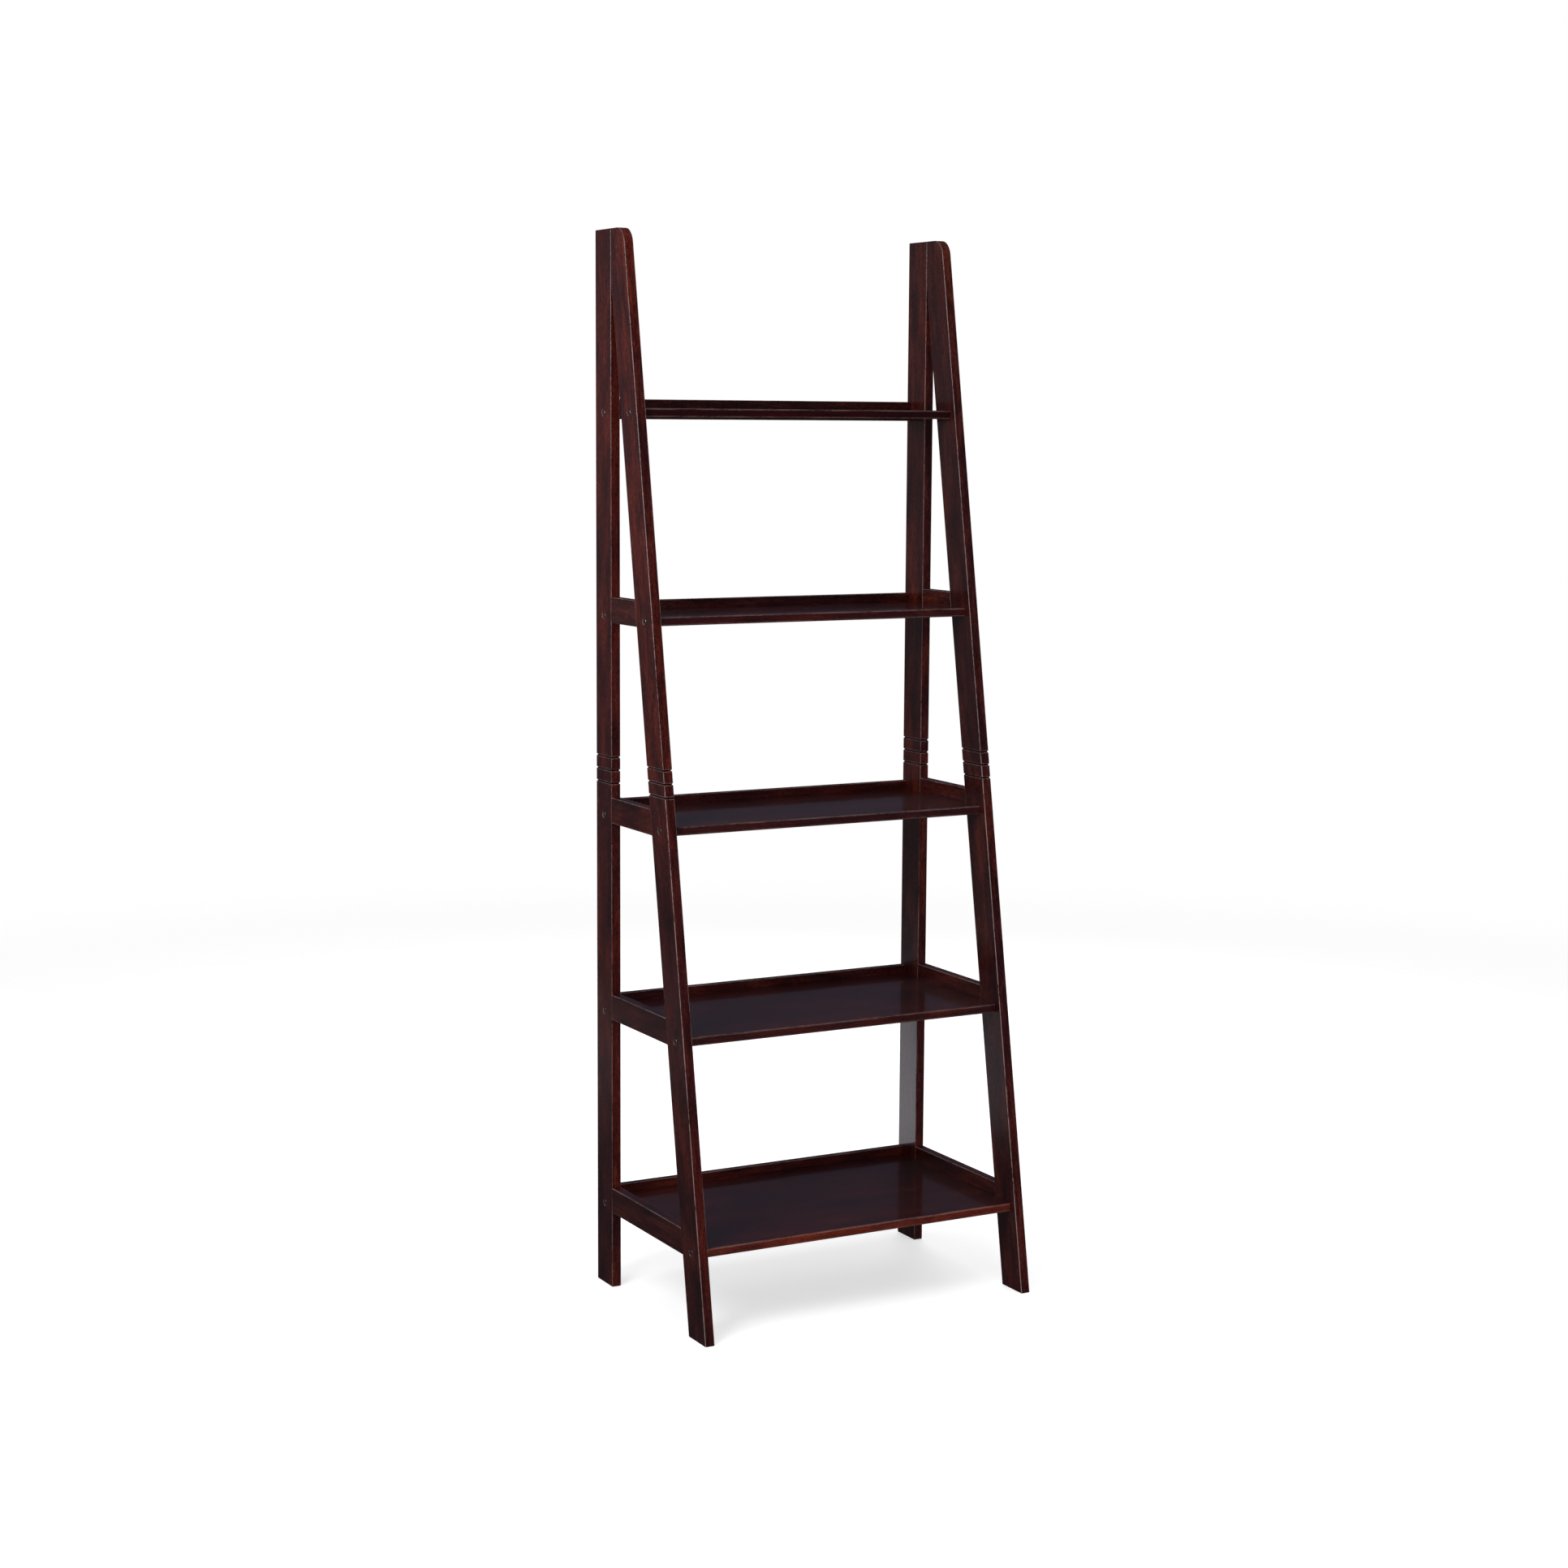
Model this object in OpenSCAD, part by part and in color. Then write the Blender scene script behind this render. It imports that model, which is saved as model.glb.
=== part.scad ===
// Ladder shelf: five open shelves between two narrow side frames.
// Each frame is a plumb rear leg and a slanted front leg that meet at the top.
// The legs are in two halves, joined at mid height, and the shelves are bolted between them.
// Millimetres, +Z up, front towards -Y, origin on the floor at the middle of the footprint.

/* [Overall] */
// Height from the floor to the top of the legs
height = 1829; // [1780:1:1900]
// Width over the two side frames
width = 636; // [500:1:900]
// Depth on the floor, from the front feet to the back
depth = 424; // [380:1:460]
// Depth over both legs at the top
top_depth = 110; // [95:1:118]

/* [Legs] */
// Thickness of the leg and side rail stock
leg_thickness = 17; // [16:0.5:22]
// Width of the leg stock, measured square to the leg
leg_width = 61; // [52:1:66]
// Radius of the rounded corner at the top of each front leg
top_corner_radius = 30; // [10:1:34]
// Width of the V-grooves round each leg, at the joint and on either side of it
groove_width = 3.6; // [2:0.2:4]
// Distance from the joint to the groove above it and the groove below it
groove_spacing = 22.4; // [16:0.2:30]

/* [Shelves] */
// Height of the bottom shelf's top surface
first_shelf_height = 153; // [110:1:180]
// Rise from one shelf to the next
shelf_pitch = 344.5; // [335:0.5:350]
// Thickness of the shelf boards
board_thickness = 15; // [14:0.5:18]
// How far the boards' front edges stand behind the front of the legs
shelf_setback = 14; // [6:1:18]
// Radius of the boards' rounded front edges
front_edge_radius = 2.5; // [1:0.5:5]

/* [Rails] */
// Height of the side rails
side_rail_height = 44; // [40:1:50]
// Height of the back rails
back_rail_height = 34; // [30:1:40]
// Thickness of the back rails
back_rail_thickness = 12; // [12:0.5:18]
// How far all rails reach below the top surface of their board
rail_drop = 18.5; // [18:0.5:20]

/* [Fasteners] */
// Length of the shelf bolts under the head
bolt_length = 50; // [46:1:60]
// Depth of the counterbores that the bolt heads sit in
counterbore_depth = 6.5; // [6:0.5:8]
// Distance from the end of a board to its barrel nuts
nut_inset = 30; // [24:1:32]
// Length of the dowels in the side rails and in the top joints
dowel_length = 32; // [24:1:36]
// Length of the dowels in the leg joints
joint_dowel_length = 60; // [40:1:70]

/* [Hidden] */
SIDES = ["left", "right"];
HALVES = ["lower", "upper"];
SHELVES = [1:5];
RAILED_SHELVES = [1:4];

// Round surfaces
$fn = 48;
// Overlap that keeps a cut from ending level with a face
extra = 1;

// Bolts, their nuts and their holes
bolt_diameter = 6;
bolt_hole_diameter = 6.6;
bolt_head_diameter = 10;
bolt_head_height = 6;
socket_across_flats = 5;
socket_depth = 3.5;
counterbore_diameter = 12;
nut_diameter = 10;
nut_length = 10;
nut_slot = 1.4;

// Dowels and where they sit in their joints
dowel_diameter = 8;
small_dowel_diameter = 6;
small_dowel_length = 24;
small_dowel_in_rail = 8;
side_rail_dowel_spread = 11;
joint_dowel_spread = 15;
top_dowel_depths = [20, 57];
back_rail_dowel_margin = 90;

// Places worked out from the sizes above
front_y = -depth / 2;
back_y = depth / 2;
inner_x = width / 2 - leg_thickness;
frame_x = inner_x + leg_thickness / 2;
rear_leg_front_y = back_y - leg_width;
rear_leg_middle_y = back_y - leg_width / 2;
rail_front_y = back_y - back_rail_thickness;
joint_z = height / 2;
groove_depth = groove_width / 2;

// The front legs move back by lean for each millimetre that they rise
lean = (depth - top_depth) / height;
lean_angle = atan(lean);
leg_run = leg_width / cos(lean_angle);
seam_z = (rear_leg_front_y - front_y - leg_run) / lean;

function front_leg_front_y(z) = front_y + lean * z;
function front_leg_back_y(z) = front_leg_front_y(z) + leg_run;
function front_leg_middle_y(z) = front_leg_front_y(z) + leg_run / 2;

function shelf_top(i) = first_shelf_height + (i - 1) * shelf_pitch;
function bolt_z(i) = shelf_top(i) - board_thickness / 2;
function bolt_places(i) = [rear_leg_middle_y, front_leg_middle_y(bolt_z(i))];
function board_front_y(i) = front_leg_front_y(shelf_top(i)) + shelf_setback;
function rail_bottom(i) = shelf_top(i) - rail_drop;
function side_rail_dowel_heights(i) =
    [for (step = [-1, 1]) rail_bottom(i) + side_rail_height / 2 + step * side_rail_dowel_spread];
function back_rail_dowel_places() =
    [for (step = [-1, 0, 1]) step * (inner_x - back_rail_dowel_margin)];
function joint_dowel_places() =
    [for (middle = [rear_leg_middle_y, front_leg_middle_y(joint_z)], step = [-1, 1])
        middle + step * joint_dowel_spread];

// The shelves whose bolts pass through a half of a leg, and the grooves cut in it
function shelves_on(half) = [for (i = SHELVES) if ((bolt_z(i) < joint_z) == (half == "lower")) i];
function rails_on(half) = [for (i = shelves_on(half)) if (i <= max([for (r = RAILED_SHELVES) r])) i];
function groove_heights(half) = [joint_z, joint_z + (half == "lower" ? -1 : 1) * groove_spacing];

// Puts a piece drawn at the middle of a side frame into the left or the right frame.
// The outside of the frame is at -X while the piece is being drawn.
module on_side(side) {
    if (side == "right")
        mirror([1, 0, 0]) translate([-frame_x, 0, 0]) children();
    else
        translate([-frame_x, 0, 0]) children();
}

// Gives a side view, drawn as [y, z], the thickness of the leg stock
module leg_stock() {
    rotate([90, 0, 90]) linear_extrude(height = leg_thickness, center = true) children();
}

// V-cuts in all four faces of a leg, at one height
module groove_round_leg(z, front, back) {
    cutter = groove_depth * sqrt(2);
    for (y = [front, back])
        translate([0, y, z]) rotate([45, 0, 0])
            cube([leg_thickness + 2 * extra, cutter, cutter], center = true);
    for (x = [-leg_thickness / 2, leg_thickness / 2])
        translate([x, (front + back) / 2, z]) rotate([0, 45, 0])
            cube([cutter, back - front + 2 * extra, cutter], center = true);
}

// Counterbored hole for a shelf bolt, drilled from the outside of a leg
module bolt_hole(y, z) {
    translate([-leg_thickness / 2, y, z]) rotate([0, 90, 0]) {
        translate([0, 0, -extra]) cylinder(d = counterbore_diameter, h = counterbore_depth + extra);
        cylinder(d = bolt_hole_diameter, h = leg_thickness + extra);
    }
}

// A dowel lying front to back, or its hole, with its middle in the joint
module level_dowel(y, z) {
    translate([0, y, z]) rotate([90, 0, 0]) cylinder(d = dowel_diameter, h = dowel_length, center = true);
}

// A dowel standing in a leg joint, or its hole
module upright_dowel(y) {
    translate([0, y, joint_z]) cylinder(d = dowel_diameter, h = joint_dowel_length, center = true);
}

module wood() {
    color([0.25, 0.09, 0.07]) children();
}

module steel() {
    color([0.45, 0.45, 0.47]) children();
}

module beech() {
    color([0.80, 0.66, 0.47]) children();
}

module rear_leg(half) {
    bottom = half == "lower" ? 0 : joint_z;
    wood() difference() {
        leg_stock() translate([rear_leg_front_y, bottom]) square([leg_width, height / 2]);
        for (z = groove_heights(half)) groove_round_leg(z, rear_leg_front_y, back_y);
        for (i = shelves_on(half)) bolt_hole(rear_leg_middle_y, bolt_z(i));
        for (i = rails_on(half), z = side_rail_dowel_heights(i)) level_dowel(rear_leg_front_y, z);
        for (y = joint_dowel_places()) upright_dowel(y);
        if (half == "upper")
            for (down = top_dowel_depths) level_dowel(rear_leg_front_y, height - down);
    }
}

// Side view of the lower half of a front leg
module lower_front_leg_outline() {
    polygon([
        [front_leg_front_y(0), 0],
        [front_leg_back_y(0), 0],
        [front_leg_back_y(joint_z), joint_z],
        [front_leg_front_y(joint_z), joint_z]
    ]);
}

// Side view of the upper half of a front leg: above seam_z its back is plumb and lies on the rear leg
module upper_front_leg_outline() {
    corner_z = height - top_corner_radius;
    corner_y = front_leg_front_y(corner_z) + top_corner_radius / cos(lean_angle);
    tangent_y = corner_y - top_corner_radius * cos(lean_angle);
    tangent_z = corner_z + top_corner_radius * sin(lean_angle);
    polygon([
        [front_leg_front_y(joint_z), joint_z],
        [front_leg_back_y(joint_z), joint_z],
        [rear_leg_front_y, seam_z],
        [rear_leg_front_y, height],
        [corner_y, height],
        [corner_y, corner_z],
        [tangent_y, tangent_z]
    ]);
    translate([corner_y, corner_z]) circle(r = top_corner_radius);
}

module front_leg(half) {
    wood() difference() {
        leg_stock()
            if (half == "lower")
                lower_front_leg_outline();
            else
                upper_front_leg_outline();
        for (z = groove_heights(half)) groove_round_leg(z, front_leg_front_y(z), front_leg_back_y(z));
        for (i = shelves_on(half)) bolt_hole(front_leg_middle_y(bolt_z(i)), bolt_z(i));
        for (i = rails_on(half), z = side_rail_dowel_heights(i)) level_dowel(front_leg_back_y(z), z);
        for (y = joint_dowel_places()) upright_dowel(y);
        if (half == "upper")
            for (down = top_dowel_depths) level_dowel(rear_leg_front_y, height - down);
    }
}

// The back end of a side rail is cut plumb, its front end to the slant of the front leg
module side_rail(i) {
    bottom = rail_bottom(i);
    top = bottom + side_rail_height;
    wood() difference() {
        leg_stock() polygon([
            [front_leg_back_y(bottom), bottom],
            [rear_leg_front_y, bottom],
            [rear_leg_front_y, top],
            [front_leg_back_y(top), top]
        ]);
        for (z = side_rail_dowel_heights(i)) {
            level_dowel(rear_leg_front_y, z);
            level_dowel(front_leg_back_y(z), z);
        }
    }
}

// Section of a shelf board, drawn as [y, z] from the foot of its back, with its front corners rounded
module board_section(board_depth) {
    translate([front_edge_radius - board_depth, 0])
        square([board_depth - front_edge_radius, board_thickness]);
    translate([-board_depth, front_edge_radius])
        square([2 * front_edge_radius, board_thickness - 2 * front_edge_radius]);
    for (z = [front_edge_radius, board_thickness - front_edge_radius])
        translate([front_edge_radius - board_depth, z]) circle(r = front_edge_radius);
}

// The dowels between a board and its back rail, or their holes
module back_rail_dowel_set(i) {
    for (x = back_rail_dowel_places())
        translate([x, rail_front_y + small_dowel_in_rail, bolt_z(i)]) rotate([90, 0, 0])
            cylinder(d = small_dowel_diameter, h = small_dowel_length);
}

module shelf_board(i) {
    bolt_reach = bolt_length - (leg_thickness - counterbore_depth) + 2;
    underside = shelf_top(i) - board_thickness;
    wood() difference() {
        translate([0, rail_front_y, underside]) rotate([90, 0, 90])
            linear_extrude(height = 2 * inner_x, center = true)
                board_section(rail_front_y - board_front_y(i));
        for (side = SIDES) on_side(side) for (y = bolt_places(i)) {
            translate([leg_thickness / 2 - extra, y, bolt_z(i)]) rotate([0, 90, 0])
                cylinder(d = bolt_hole_diameter, h = bolt_reach + extra);
            translate([leg_thickness / 2 + nut_inset, y, underside - extra])
                cylinder(d = nut_diameter, h = (board_thickness + nut_length) / 2 + extra);
        }
        back_rail_dowel_set(i);
    }
}

module back_rail(i) {
    wood() difference() {
        translate([-inner_x, rail_front_y, rail_bottom(i)])
            cube([2 * inner_x, back_rail_thickness, back_rail_height]);
        back_rail_dowel_set(i);
    }
}

// Hex-socket bolt, drawn along +X with the underside of its head at the origin
module bolt() {
    rotate([0, 90, 0]) difference() {
        union() {
            cylinder(d = bolt_diameter, h = bolt_length);
            translate([0, 0, -bolt_head_height]) cylinder(d = bolt_head_diameter, h = bolt_head_height);
        }
        translate([0, 0, -bolt_head_height - extra])
            cylinder(d = socket_across_flats / cos(30), h = socket_depth + extra, $fn = 6);
    }
}

module shelf_bolts(i) {
    steel() for (side = SIDES) on_side(side) for (y = bolt_places(i))
        translate([-leg_thickness / 2 + counterbore_depth, y, bolt_z(i)]) bolt();
}

// Barrel nut: an upright cylinder with a cross hole for the bolt and a slot to turn it by
module barrel_nut() {
    difference() {
        cylinder(d = nut_diameter, h = nut_length, center = true);
        rotate([0, 90, 0]) cylinder(d = bolt_diameter, h = nut_diameter + 2 * extra, center = true);
        translate([0, 0, -nut_length / 2])
            cube([nut_diameter + 2 * extra, nut_slot, nut_slot], center = true);
    }
}

module barrel_nuts(i) {
    steel() for (side = SIDES) on_side(side) for (y = bolt_places(i))
        translate([leg_thickness / 2 + nut_inset, y, bolt_z(i)]) barrel_nut();
}

module back_rail_dowels(i) {
    beech() back_rail_dowel_set(i);
}

module side_rail_dowels() {
    beech() for (i = RAILED_SHELVES, z = side_rail_dowel_heights(i)) {
        level_dowel(rear_leg_front_y, z);
        level_dowel(front_leg_back_y(z), z);
    }
}

module leg_joint_dowels() {
    beech() for (y = joint_dowel_places()) upright_dowel(y);
}

module top_joint_dowels() {
    beech() for (down = top_dowel_depths) level_dowel(rear_leg_front_y, height - down);
}

for (side = SIDES) {
    for (half = HALVES) {
        on_side(side) rear_leg(half);
        on_side(side) front_leg(half);
    }
    for (i = RAILED_SHELVES)
        on_side(side) side_rail(i);
    on_side(side) side_rail_dowels();
    on_side(side) leg_joint_dowels();
    on_side(side) top_joint_dowels();
}
for (i = SHELVES) {
    shelf_board(i);
    back_rail(i);
    shelf_bolts(i);
    barrel_nuts(i);
    back_rail_dowels(i);
}
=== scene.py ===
"""Looks of a ladder shelf: dark cherry posts, rails and boards, zinc-plated bolts and a pale studio."""
import math
import random

import bmesh
import bpy
from mathutils import Matrix, Vector


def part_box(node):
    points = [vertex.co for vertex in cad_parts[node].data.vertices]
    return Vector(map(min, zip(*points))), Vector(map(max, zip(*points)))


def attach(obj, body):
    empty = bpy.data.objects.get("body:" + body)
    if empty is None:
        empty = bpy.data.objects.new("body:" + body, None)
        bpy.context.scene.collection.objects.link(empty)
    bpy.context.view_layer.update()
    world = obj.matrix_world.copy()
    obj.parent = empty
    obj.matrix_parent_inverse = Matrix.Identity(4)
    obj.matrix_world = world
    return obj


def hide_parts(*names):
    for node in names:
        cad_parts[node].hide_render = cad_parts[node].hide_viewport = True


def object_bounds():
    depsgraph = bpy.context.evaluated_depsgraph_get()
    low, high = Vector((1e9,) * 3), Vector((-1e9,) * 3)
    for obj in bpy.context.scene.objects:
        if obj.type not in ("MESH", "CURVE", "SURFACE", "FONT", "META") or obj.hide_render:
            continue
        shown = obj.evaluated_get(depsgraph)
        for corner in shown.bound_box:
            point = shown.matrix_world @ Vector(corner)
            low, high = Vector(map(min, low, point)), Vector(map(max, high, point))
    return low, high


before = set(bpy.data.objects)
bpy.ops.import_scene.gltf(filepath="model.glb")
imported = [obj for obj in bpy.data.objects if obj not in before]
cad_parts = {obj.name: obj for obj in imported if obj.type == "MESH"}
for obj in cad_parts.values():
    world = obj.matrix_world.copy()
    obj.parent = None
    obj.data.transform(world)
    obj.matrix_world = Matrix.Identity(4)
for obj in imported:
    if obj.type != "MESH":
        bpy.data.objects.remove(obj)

cad_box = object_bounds()

# ---------------------------------------------------------------------------------------------
# Rear legs: two plumb posts of solid cherry, stained dark and lacquered. Each is two lengths glued
# end to end with dowels at mid height. The arrises are rounded over by hand, a V-groove hides the
# joint between two more V-grooves, and each shelf bolt has a counterbored hole from the outside.

SIDES = {"left": -1, "right": 1}
SHELVES = range(1, 6)

height = cad_box[1].z
outer_x = cad_box[1].x
back_y = cad_box[1].y
lower_post_low, lower_post_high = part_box("rear_leg_lower_left")
post_thickness = lower_post_high.x - lower_post_low.x
post_front_y = lower_post_low.y
joint_z = lower_post_high.z
inner_x = outer_x - post_thickness

ARRIS_STEPS = 4
EASE_STEPS = 3
HOLE_SIDES = 48
arris_radius = 0.0010
joint_ease = 0.0007
foot_ease = 0.0012
groove_half_width = 0.0018
groove_depth = 0.0018
groove_lip = 0.0005
groove_spacing = 0.0224
counterbore_radius = 0.006
counterbore_depth = 0.0065
counterbore_chamfer = 0.0004
bolt_hole_radius = 0.0033
bolt_head_radius = 0.005
cutter_overshoot = 0.002
# The posts' arrises are lightened partly by wearing and partly by a painted highlight.
post_wear_and_highlight = 0.6

board_order = random.Random(41)


def rounded_outline(low, high, radii):
    """Points round the rectangle from low to high, with a radius for each of its four corners."""
    corners = [
        (low[0] + radii[0], low[1] + radii[0], 180),
        (high[0] - radii[1], low[1] + radii[1], 270),
        (high[0] - radii[2], high[1] - radii[2], 0),
        (low[0] + radii[3], high[1] - radii[3], 90),
    ]
    points = []
    for (u, v, start), radius in zip(corners, radii):
        for step in range(ARRIS_STEPS + 1):
            angle = math.radians(start + 90 * step / ARRIS_STEPS)
            points.append((u + radius * math.cos(angle), v + radius * math.sin(angle)))
    return points


def loft(name, rings, groove_shade_and_lip_highlight=None, arris_wear_and_highlight=(1.0, 1.0, 1.0, 1.0)):
    """A closed solid through rings. A face attribute gives how far each corner is lightened, partly as
    wearing and partly as a painted highlight, and is -1 in a groove, where the stain paints shade.
    """
    shape = bmesh.new()
    wear = shape.faces.layers.float.new("wear")
    loops = [[shape.verts.new(point) for point in ring] for ring in rings]
    for number, (near, far) in enumerate(zip(loops, loops[1:])):
        for k in range(len(near)):
            following = (k + 1) % len(near)
            face = shape.faces.new((near[k], near[following], far[following], far[k]))
            corner, step = divmod(k, ARRIS_STEPS + 1)
            corner_wear_and_highlight = arris_wear_and_highlight[corner % 4] if step < ARRIS_STEPS else 0.0
            face[wear] = (groove_shade_and_lip_highlight or {}).get(number, corner_wear_and_highlight)
    shape.faces.new(loops[0])
    shape.faces.new(loops[-1])
    bmesh.ops.recalc_face_normals(shape, faces=shape.faces)
    mesh = bpy.data.meshes.new(name)
    shape.to_mesh(mesh)
    shape.free()
    piece = bpy.data.objects.new(name, mesh)
    bpy.context.scene.collection.objects.link(piece)
    return piece


def settle(piece):
    """Turns a piece with its modifiers into one plain mesh."""
    graph = bpy.context.evaluated_depsgraph_get()
    plain = bpy.data.meshes.new_from_object(piece.evaluated_get(graph))
    first = piece.data
    piece.modifiers.clear()
    piece.data = plain
    bpy.data.meshes.remove(first)


def drill(piece, holes):
    """Cuts a row of lofted holes out of a piece."""
    for hole in holes:
        cut = piece.modifiers.new("hole", "BOOLEAN")
        cut.operation = "DIFFERENCE"
        cut.solver = "EXACT"
        cut.object = hole
    settle(piece)
    for hole in holes:
        bpy.data.objects.remove(hole)


def counterbored_hole(sign, y, z):
    """The shape of a bolt's hole: chamfered mouth, counterbore and shank hole, from the outside in."""
    profile = [
        (-cutter_overshoot, counterbore_radius + counterbore_chamfer + cutter_overshoot),
        (counterbore_chamfer, counterbore_radius),
        (counterbore_depth, counterbore_radius),
        (counterbore_depth, bolt_hole_radius),
        (post_thickness + cutter_overshoot, bolt_hole_radius),
    ]
    rings = []
    for depth, radius in profile:
        ring = []
        for step in range(HOLE_SIDES):
            angle = math.tau * step / HOLE_SIDES
            place = (y + radius * math.cos(angle), z + radius * math.sin(angle))
            ring.append((sign * (outer_x - depth), *place))
        rings.append(ring)
    return loft("bolt_hole", rings)


def bolt_places(shelf):
    """Where a shelf's bolts stand in the front and rear legs, as (y, z)."""
    low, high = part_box(f"shelf_bolts_{shelf}")
    middle = (low.z + high.z) / 2
    return {"front": (low.y + bolt_head_radius, middle), "rear": (high.y - bolt_head_radius, middle)}


def eased_end(end, inward, ease):
    """Stations over a rounded end: (place along the piece, how far the section is drawn in)."""
    stations = []
    for step in range(EASE_STEPS + 1):
        angle = math.radians(90 * step / EASE_STEPS)
        stations.append((end + inward * ease * (1 - math.cos(angle)), ease * (1 - math.sin(angle))))
    return stations


def half_groove(bottom, outward):
    """Stations from the bottom of a V-groove out to the face of the post on one side."""
    return [
        (bottom, groove_depth),
        (bottom + outward * groove_half_width, groove_lip / 4),
        (bottom + outward * (groove_half_width + groove_lip), 0),
    ]


def post_stations(half):
    """Heights and insets of one half of a post, from the foot or the joint up, and the values that paint
    shade in its grooves and a highlight on their lips.
    """
    if half == "lower":
        middle = joint_z - groove_spacing
        end = eased_end(0, 1, foot_ease)
        groove = half_groove(middle, -1)[::-1] + half_groove(middle, 1)[1:]
        joint = half_groove(joint_z, -1)[::-1]
        stations = end + groove + joint
    else:
        middle = joint_z + groove_spacing
        joint = half_groove(joint_z, 1)
        groove = half_groove(middle, -1)[::-1] + half_groove(middle, 1)[1:]
        end = eased_end(height, -1, foot_ease)[::-1]
        stations = joint + groove + end
    groove_shade_and_lip_highlight = {}
    for number, (near, far) in enumerate(zip(stations, stations[1:])):
        # Painted shade on the groove faces, a painted highlight on the lips beside them.
        if groove_depth in (near[1], far[1]):
            groove_shade_and_lip_highlight[number] = -1.0
        elif groove_lip / 4 in (near[1], far[1]):
            groove_shade_and_lip_highlight[number] = 1.0
    return stations, groove_shade_and_lip_highlight


class Signal:
    """A node's output. An expression on signals and numbers adds the Math nodes that work it out."""

    def __init__(self, tree, socket=None):
        self.tree = tree
        self.socket = socket

    def node(self, kind, settings=None, values=None, output=0):
        """Adds a node: its settings first, then the value or the link of each of its sockets."""
        made = self.tree.nodes.new(kind)
        for key, setting in (settings or {}).items():
            if key == "stops":
                for place, colour in setting[1:-1]:
                    made.color_ramp.elements.new(place)
                for element, (place, colour) in zip(made.color_ramp.elements, setting):
                    element.position = place
                    element.color = (*colour, 1)
            else:
                setattr(made, key, setting)
        for key, value in (values or {}).items():
            if isinstance(value, Signal):
                self.tree.links.new(value.socket, made.inputs[key])
            else:
                made.inputs[key].default_value = value
        return Signal(self.tree, made.outputs[output] if made.outputs else None)

    def out(self, name):
        """Another output of the same node."""
        return Signal(self.tree, self.socket.node.outputs[name])

    def math(self, operation, first, second=0.0):
        return self.node("ShaderNodeMath", {"operation": operation}, {0: first, 1: second})

    def __add__(self, other):
        return self.math("ADD", self, other)

    def __radd__(self, other):
        return self.math("ADD", other, self)

    def __sub__(self, other):
        return self.math("SUBTRACT", self, other)

    def __rsub__(self, other):
        return self.math("SUBTRACT", other, self)

    def __mul__(self, other):
        return self.math("MULTIPLY", self, other)

    def __rmul__(self, other):
        return self.math("MULTIPLY", other, self)

    def __gt__(self, other):
        return self.math("GREATER_THAN", self, other)

    def __lt__(self, other):
        return self.math("LESS_THAN", self, other)

    def rise(self, low, high):
        """0 below low, 1 above high, and smooth in between."""
        values = {"Value": self, "From Min": low, "From Max": high}
        return self.node("ShaderNodeMapRange", {"interpolation_type": "SMOOTHSTEP"}, values)

    def between(self, first, second):
        """The colour this far from the first colour to the second."""
        return self.node("ShaderNodeMix", {"data_type": "RGBA"}, {0: self, 6: first, 7: second}, 2)

    def tinted(self, tint):
        """This colour multiplied by another."""
        settings = {"data_type": "RGBA", "blend_type": "MULTIPLY"}
        return self.node("ShaderNodeMix", settings, {0: 1.0, 6: self, 7: tint}, 2)

    def noise(self, scale, detail=2.0, roughness=0.5, distortion=0.0):
        """Noise read at this vector."""
        values = {
            "Vector": self,
            "Scale": scale,
            "Detail": detail,
            "Roughness": roughness,
            "Distortion": distortion,
        }
        return self.node("ShaderNodeTexNoise", None, values)


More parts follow.
